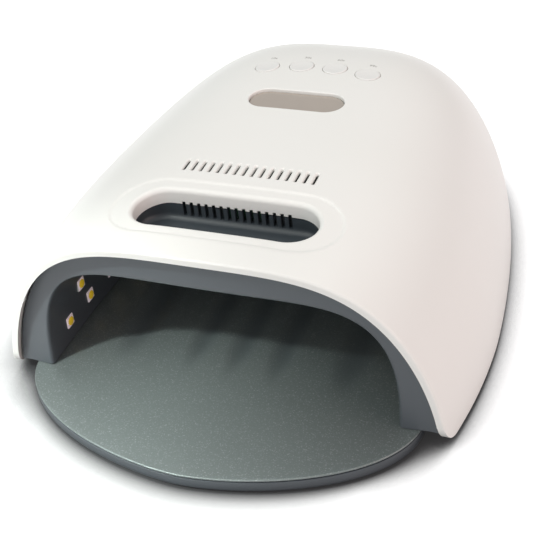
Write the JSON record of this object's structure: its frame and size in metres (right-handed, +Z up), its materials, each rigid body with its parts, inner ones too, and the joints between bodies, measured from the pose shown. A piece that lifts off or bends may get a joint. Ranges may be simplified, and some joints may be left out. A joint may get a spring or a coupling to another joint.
{
  "type": "uv led nail lamp",
  "caption": "Domed white nail curing lamp with a dark open-fronted hand chamber, grip slot, display, push buttons and a removable base tray.",
  "frame": {"origin": "middle of the footprint's bounding box, on the table the lamp stands on", "axes": "+Z up, the mouth and the tray's nose face -Y, the buttons and power inlet are towards +Y, X = 0 is the mirror plane"},
  "size_m": [0.2058, 0.2642, 0.0804],
  "materials": {
    "white_abs": "satin moulded ABS, off-white",
    "button_abs": "satin moulded ABS, off-white, smoother than the shell",
    "tray_abs": "fine spark-eroded grain, graphite grey",
    "liner_abs": "satin moulded ABS, blue-grey graphite",
    "screw_steel": "zinc-plated self-tapping screw",
    "nickel_plate": "nickel-plated disc",
    "sink_aluminium": "extruded, clear anodised",
    "foot_rubber": "soft moulded elastomer",
    "smoked_lens": "polished tinted acrylic, taupe grey",
    "display_housing": "segment display potting, dark grey",
    "switch_housing": "black tactile switch body",
    "inlet_housing": "black moulded nylon",
    "circuit_laminate": "solder-masked glass-epoxy board"
  },
  "bodies": {
    "base_tray": {"tray_base": "tray_abs", "tray_foot_1": "foot_rubber", "tray_foot_2": "foot_rubber", "tray_foot_3": "foot_rubber", "tray_foot_4": "foot_rubber", "tray_magnet_1": "nickel_plate", "tray_magnet_2": "nickel_plate", "tray_magnet_3": "nickel_plate", "tray_magnet_4": "nickel_plate", "tray_plate": "tray_abs"},
    "lamp": {"board_screw_1": "screw_steel", "board_screw_2": "screw_steel", "board_screw_3": "screw_steel", "board_screw_4": "screw_steel", "bottom_frame": "liner_abs", "button_switch_1": "switch_housing", "button_switch_2": "switch_housing", "button_switch_3": "switch_housing", "button_switch_4": "switch_housing", "control_board": "circuit_laminate", "display_lens": "smoked_lens", "display_module": "display_housing", "driver_board": "circuit_laminate", "frame_screw_1": "screw_steel", "frame_screw_2": "screw_steel", "frame_screw_3": "screw_steel", "frame_screw_4": "screw_steel", "hand_sensor": "circuit_laminate", "handle_tub": "liner_abs", "heat_sink_left": "sink_aluminium", "heat_sink_right": "sink_aluminium", "inner_liner": "liner_abs", "keeper_disc_1": "nickel_plate", "keeper_disc_2": "nickel_plate", "keeper_disc_3": "nickel_plate", "keeper_disc_4": "nickel_plate", "lamp_foot_1": "foot_rubber", "lamp_foot_2": "foot_rubber", "lamp_foot_3": "foot_rubber", "lamp_foot_4": "foot_rubber", "lamp_foot_5": "foot_rubber", "lamp_foot_6": "foot_rubber", "led_board_left": "circuit_laminate", "led_board_right": "circuit_laminate", "led_board_top": "circuit_laminate", "outer_shell": "white_abs", "power_inlet": "inlet_housing"},
    "button_1": {"button_1": "button_abs"},
    "button_2": {"button_2": "button_abs"},
    "button_3": {"button_3": "button_abs"},
    "button_4": {"button_4": "button_abs"}
  },
  "joints": [
    {"name": "lamp_lift", "type": "slide", "parent": "base_tray", "child": "lamp", "axis": [0, 0, 1], "range_m": [0, 0.08]},
    {"name": "button_1_press", "type": "slide", "parent": "lamp", "child": "button_1", "axis": [0, 0, -1], "range_m": [0, 0.0008], "stiffness_N_per_m": 1500},
    {"name": "button_2_press", "type": "slide", "parent": "lamp", "child": "button_2", "axis": [0, 0, -1], "range_m": [0, 0.0008], "stiffness_N_per_m": 1500},
    {"name": "button_3_press", "type": "slide", "parent": "lamp", "child": "button_3", "axis": [0, 0, -1], "range_m": [0, 0.0008], "stiffness_N_per_m": 1500},
    {"name": "button_4_press", "type": "slide", "parent": "lamp", "child": "button_4", "axis": [0, 0, -1], "range_m": [0, 0.0008], "stiffness_N_per_m": 1500}
  ]
}
